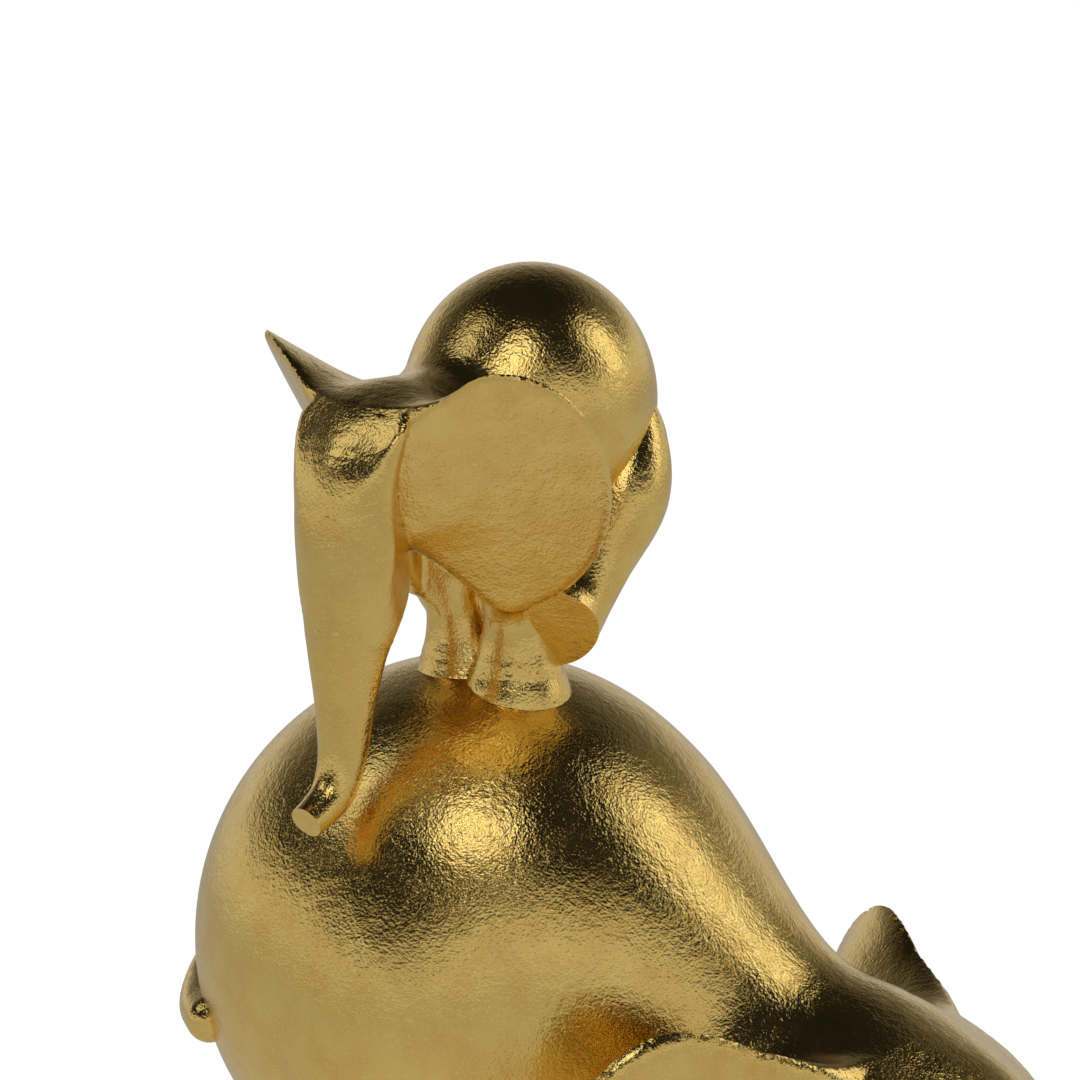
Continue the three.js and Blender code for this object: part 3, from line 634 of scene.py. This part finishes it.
def felt(finish):
    """Dense felt with matted fibres."""
    material, nodes, shader = new_material("dense felt")
    grain = grained(nodes, FELT_GRAIN, 0.0)
    place = nodes.add("TexCoord").outputs["Object"]
    fibre = nodes.noise(place, FIBRE_SCALE, 6, Distortion=FIBRE_CURL)
    fleck = nodes.mix(nodes.spread(fibre, *FLECKS), finish.felt, PALE_FIBRE)
    nodes.put(shader["Base Color"], nodes.mix(grain["Clouds"], fleck, DARK_FELT))
    nodes.put(shader["Roughness"], nodes.spread(fibre, *FIBRES, *FELT_ROUGHNESS))
    shader["Sheen Weight"].default_value = FELT_SHEEN
    height = nodes.math("ADD", fibre, nodes.math("MULTIPLY", grain["Height"], FELT_GRAIN_SHARE))
    bump = nodes.add("Bump", {"Strength": 1.0, "Distance": FIBRE_DEPTH, "Height": height})
    nodes.put(shader["Normal"], bump.outputs[0])
    return material


# Pieces

# Two corners round each piece's form, in its own millimetres
LARGE_SPAN = (-74, -92, 0), (150, 92, 190)
LARGE_TAIL_SPAN = (-76, -34, 88), (-40, 22, 140)
SMALL_SPAN = (-44, -52, -26), (66, 52, 94)
SMALL_TAIL_SPAN = (-50, -8, 40), (-28, 14, 76)
HIND_LEG_LENGTH, HIND_LEG_REACH, HIND_LEG_HEIGHT = (-36, 14), 36, (0, 74)
# The tails' mesh cells as shares of their elephants' cells
LARGE_TAIL_CELL, SMALL_TAIL_CELL = 0.55, 0.65
CREASE_ANGLE = math.radians(32)


def cad_shift():
    """Where the forms' origin lies in the CAD frame, in millimetres, read from a foot pad."""
    low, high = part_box("hind_pad_left")
    middle = (low + high) / 2 / MM
    return np.array([middle.x - HIND_PAD_AT[0], middle.y - HIND_PAD_AT[1], 0])


def skin(name, form, span, cell, material, nodes, place=None):
    """Meshes a form between two corners, as one piece that stands for these CAD nodes."""
    points, quads = surface(form, *span, cell)
    if place:
        points = place.outward(points)
    mesh = bpy.data.meshes.new(name)
    mesh.vertices.add(len(points))
    mesh.vertices.foreach_set("co", ((points + cad_shift()) * MM).ravel())
    mesh.loops.add(quads.size)
    mesh.loops.foreach_set("vertex_index", quads.ravel())
    mesh.polygons.add(len(quads))
    mesh.polygons.foreach_set("loop_start", np.arange(len(quads)) * 4)
    mesh.update(calc_edges=True)
    mesh.validate()
    mesh.polygons.foreach_set("use_smooth", np.ones(len(mesh.polygons), bool))
    mesh.set_sharp_from_angle(angle=CREASE_ANGLE)
    mesh.materials.append(material)
    piece = bpy.data.objects.new(name, mesh)
    bpy.context.scene.collection.objects.link(piece)
    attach(piece, "root")
    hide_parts(*nodes)


def refinish(names, material):
    """Gives CAD nodes that keep their shape a finer material."""
    for name in names:
        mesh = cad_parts[name].data
        mesh.materials.clear()
        mesh.materials.append(material)


class FIGURINE_OT_large_elephant(bpy.types.Operator):
    """Make the large elephant's cast skin: body, head and ears in one"""
    bl_idname = "figurine.large_elephant"
    bl_label = "Large elephant"

    def execute(self, context):
        shape, finish, _ = settings(context)
        large = LargeElephant(shape)
        skin("large_elephant", large.whole, LARGE_SPAN, shape.large_cell / MM, gilt(finish), [
            "large_body", "large_head", "large_ear_left", "large_ear_right"])
        return {"FINISHED"}


class FIGURINE_OT_large_tail(bpy.types.Operator):
    """Make the large elephant's curled tail"""
    bl_idname = "figurine.large_tail"
    bl_label = "Large tail"

    def execute(self, context):
        shape, finish, _ = settings(context)
        skin("large_tail_skin", LargeElephant(shape).tail, LARGE_TAIL_SPAN,
             LARGE_TAIL_CELL * shape.large_cell / MM, gilt(finish), ["large_tail"])
        return {"FINISHED"}


class FIGURINE_OT_small_elephant(bpy.types.Operator):
    """Make the small elephant's cast skin: body, head and ears in one"""
    bl_idname = "figurine.small_elephant"
    bl_label = "Small elephant"

    def execute(self, context):
        shape, finish, _ = settings(context)
        small = SmallElephant(shape)
        skin("small_elephant", small.whole, SMALL_SPAN, shape.small_cell / MM, gilt(finish), [
            "small_body", "small_head", "small_ear_left", "small_ear_right"], small.place)
        return {"FINISHED"}


class FIGURINE_OT_small_hind_legs(bpy.types.Operator):
    """Make the small elephant's two drawn-up hind legs with their flat soles"""
    bl_idname = "figurine.small_hind_legs"
    bl_label = "Small hind legs"

    def execute(self, context):
        shape, finish, _ = settings(context)
        small = SmallElephant(shape)
        for side, sign in (("left", 1), ("right", -1)):
            span = tuple(zip(HIND_LEG_LENGTH, sorted((0, sign * HIND_LEG_REACH)), HIND_LEG_HEIGHT))
            skin(f"small_{side}_hind_leg", lambda p: small.hind_leg(p * (1, sign, 1)), span,
                 shape.small_cell / MM, gilt(finish), [f"small_hind_leg_{side}"], small.place)
        return {"FINISHED"}


class FIGURINE_OT_small_tail(bpy.types.Operator):
    """Make the small elephant's short tail"""
    bl_idname = "figurine.small_tail"
    bl_label = "Small tail"

    def execute(self, context):
        shape, finish, _ = settings(context)
        small = SmallElephant(shape)
        skin("small_tail_skin", small.tail, SMALL_TAIL_SPAN,
             SMALL_TAIL_CELL * shape.small_cell / MM, gilt(finish), ["small_tail"], small.place)
        return {"FINISHED"}


class FIGURINE_OT_pins(bpy.types.Operator):
    """Finish the steel pins and dowels inside the joints"""
    bl_idname = "figurine.pins"
    bl_label = "Pins and dowels"

    def execute(self, context):
        _, finish, _ = settings(context)
        refinish([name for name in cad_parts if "_pin" in name or "_dowel" in name], steel(finish))
        return {"FINISHED"}


class FIGURINE_OT_pads(bpy.types.Operator):
    """Finish the felt pads under the large feet"""
    bl_idname = "figurine.pads"
    bl_label = "Felt pads"

    def execute(self, context):
        _, finish, _ = settings(context)
        refinish([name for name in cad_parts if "_pad_" in name], felt(finish))
        return {"FINISHED"}


# Studio

PICTURE_SIDE = 1080
SENSOR_WIDTH = 36
# This point of the large body's axis, in the forms' millimetres, lies at this pixel of the square picture
AIM_POINT, AIM_PIXEL = (0, 0, 121), (490, 940)
# Soft boxes: azimuth and elevation in degrees, distance, width and height in metres, and radiance
SOFT_BOXES = {
    "key": (-88, 50, 0.5, 0.24, 0.24, 1.5),
    "left": (-156, 46, 0.6, 0.27, 0.3, 0.85),
    "right": (20, 34, 1.2, 0.55, 0.8, 1.15),
}
ROOM, BEHIND, SURROUND = (0.012, 0.012, 0.014, 1), (0.16, 0.155, 0.15, 1), (0.58, 0.57, 0.55, 1)
# The surround ends between these heights of a direction, and rises by this much towards the card
SURROUND_END, CARD_RISE = (0.29, 0.25), 0.26
# The card's direction, and how closely a direction points to it where the rise begins and is full
CARD_X, CARD_Y, CARD_CLOSENESS = 0.616, 0.788, (0.74, 0.95)
# The glow behind the figurine grows along +Y and fades with height
BEHIND_GROWS, BEHIND_FADES = (0.1, 0.6), (0.75, 0.45)
WHITE = (1, 1, 1, 1)
TABLE_SIDE, TABLE_SEEN, TABLE_GLOW = 8, 0.95, 0.36


def directed(azimuth, elevation):
    a, e = math.radians(azimuth), math.radians(elevation)
    return Vector((math.cos(a) * math.cos(e), math.sin(a) * math.cos(e), math.sin(e)))


def studio_world(studio):
    """A dark room with a pale surround near the table's level, and white where the camera looks past it."""
    world = bpy.data.worlds.new("studio")
    bpy.context.scene.world = world
    world.use_nodes = True
    nodes = Nodes(world.node_tree)
    way = nodes.add("SeparateXYZ", {"Vector": nodes.add("TexCoord").outputs["Generated"]}).outputs
    along_x, along_y = nodes.math("MULTIPLY", way["X"], CARD_X), nodes.math("MULTIPLY", way["Y"], CARD_Y)
    card = nodes.math("SUBTRACT", along_x, along_y)
    raised = nodes.math("MULTIPLY", nodes.spread(card, *CARD_CLOSENESS), CARD_RISE)
    surround = nodes.spread(nodes.math("SUBTRACT", way["Z"], raised), *SURROUND_END)
    grows, fades = nodes.spread(way["Y"], *BEHIND_GROWS), nodes.spread(way["Z"], *BEHIND_FADES)
    room = nodes.mix(nodes.math("MULTIPLY", grows, fades), ROOM, BEHIND)
    room = nodes.mix(surround, room, SURROUND)
    seen = nodes.add("LightPath").outputs["Is Camera Ray"]
    dark = nodes.add("Background", {"Color": room, "Strength": studio.level})
    white = nodes.add("Background", {"Color": WHITE, "Strength": 1.0})
    mixed = nodes.add("MixShader", {0: seen, 1: dark.outputs[0], 2: white.outputs[0]})
    nodes.put(world.node_tree.nodes["World Output"].inputs[0], mixed.outputs[0])


def studio_table(studio):
    """A wide pale table that looks white where no shadow falls on it."""
    bpy.ops.mesh.primitive_plane_add(size=TABLE_SIDE)
    table = bpy.context.object
    table.name = "table"
    material = bpy.data.materials.new("table")
    material.use_nodes = True
    nodes = Nodes(material.node_tree)
    tree = material.node_tree.nodes
    tree.remove(tree["Principled BSDF"])
    paint = nodes.add("BsdfDiffuse", {"Color": studio.table}).outputs[0]
    bright = nodes.add("Emission", {"Color": WHITE, "Strength": TABLE_SEEN}).outputs[0]
    dim = nodes.add("Emission", {"Color": studio.table, "Strength": TABLE_GLOW}).outputs[0]
    seen = nodes.add("LightPath").outputs["Is Camera Ray"]
    glow = nodes.add("MixShader", {0: seen, 1: dim, 2: bright}).outputs[0]
    both = nodes.add("AddShader", {0: paint, 1: glow}).outputs[0]
    nodes.put(tree["Material Output"].inputs[0], both)
    table.data.materials.append(material)


def studio_lights(studio, middle):
    for name, (azimuth, elevation, distance, width, height, radiance) in SOFT_BOXES.items():
        lamp = bpy.data.lights.new(name, "AREA")
        lamp.shape = "ELLIPSE"
        lamp.size, lamp.size_y = width, height
        area = math.pi / 4 * width * height
        lamp.energy = radiance * studio.level * area * math.pi
        box = bpy.data.objects.new(name, lamp)
        way = directed(azimuth, elevation)
        box.location = middle + way * distance
        box.rotation_euler = way.to_track_quat("Z", "Y").to_euler()
        box.visible_camera = False
        bpy.context.scene.collection.objects.link(box)


def studio_camera(studio):
    a, e = studio.azimuth, studio.elevation
    back = np.array([math.sin(a) * math.cos(e), -math.cos(a) * math.cos(e), math.sin(e)])
    right = np.array([math.cos(a), math.sin(a), 0])
    up = np.cross(back, right)
    pixel = studio.frame_width / PICTURE_SIDE
    aim = (np.array(AIM_POINT) + cad_shift()) * MM
    half = PICTURE_SIDE / 2
    centre = aim + right * (half - AIM_PIXEL[0]) * pixel + up * (AIM_PIXEL[1] - half) * pixel
    data = bpy.data.cameras.new("camera")
    data.sensor_width = SENSOR_WIDTH
    data.lens = SENSOR_WIDTH * studio.distance / studio.frame_width
    camera = bpy.data.objects.new("camera", data)
    turn = Matrix([right, up, back]).transposed()
    camera.matrix_world = Matrix.Translation(centre + back * studio.distance) @ turn.to_4x4()
    bpy.context.scene.collection.objects.link(camera)
    bpy.context.scene.camera = camera


class FIGURINE_OT_studio(bpy.types.Operator):
    """Make the table, the lights, the room and the camera"""
    bl_idname = "figurine.studio"
    bl_label = "Studio"

    def execute(self, context):
        _, _, studio = settings(context)
        studio_world(studio)
        studio_table(studio)
        studio_lights(studio, Vector((0, 0, (cad_box[0][2] + cad_box[1][2]) / 2)))
        studio_camera(studio)
        context.scene.view_settings.view_transform = "Standard"
        return {"FINISHED"}


# Add-on

OPERATORS = (
    FIGURINE_OT_large_elephant, FIGURINE_OT_large_tail, FIGURINE_OT_small_elephant,
    FIGURINE_OT_small_hind_legs, FIGURINE_OT_small_tail, FIGURINE_OT_pins, FIGURINE_OT_pads,
    FIGURINE_OT_studio,
)


class FIGURINE_PT_panel(bpy.types.Panel):
    """Steps and settings of the figurine"""
    bl_label = "Figurine"
    bl_idname = "FIGURINE_PT_panel"
    bl_space_type = "VIEW_3D"
    bl_region_type = "UI"
    bl_category = "Figurine"

    def draw(self, context):
        for operator in OPERATORS:
            self.layout.operator(operator.bl_idname)
        for group in settings(context):
            box = self.layout.box()
            for name in group.__annotations__:
                box.prop(group, name)


GROUPS = {
    "figurine_shape": FigurineShape,
    "figurine_finish": FigurineFinish,
    "figurine_studio": FigurineStudio,
}


def register():
    for kind in (*GROUPS.values(), *OPERATORS, FIGURINE_PT_panel):
        bpy.utils.register_class(kind)
    for name, kind in GROUPS.items():
        setattr(bpy.types.Scene, name, PointerProperty(type=kind))


def unregister():
    for name in GROUPS:
        delattr(bpy.types.Scene, name)
    for kind in (FIGURINE_PT_panel, *reversed(OPERATORS), *GROUPS.values()):
        bpy.utils.unregister_class(kind)


def main():
    register()
    for operator in OPERATORS:
        name = operator.bl_idname.split(".")[1]
        getattr(bpy.ops.figurine, name)()


if __name__ == "__main__":
    main()
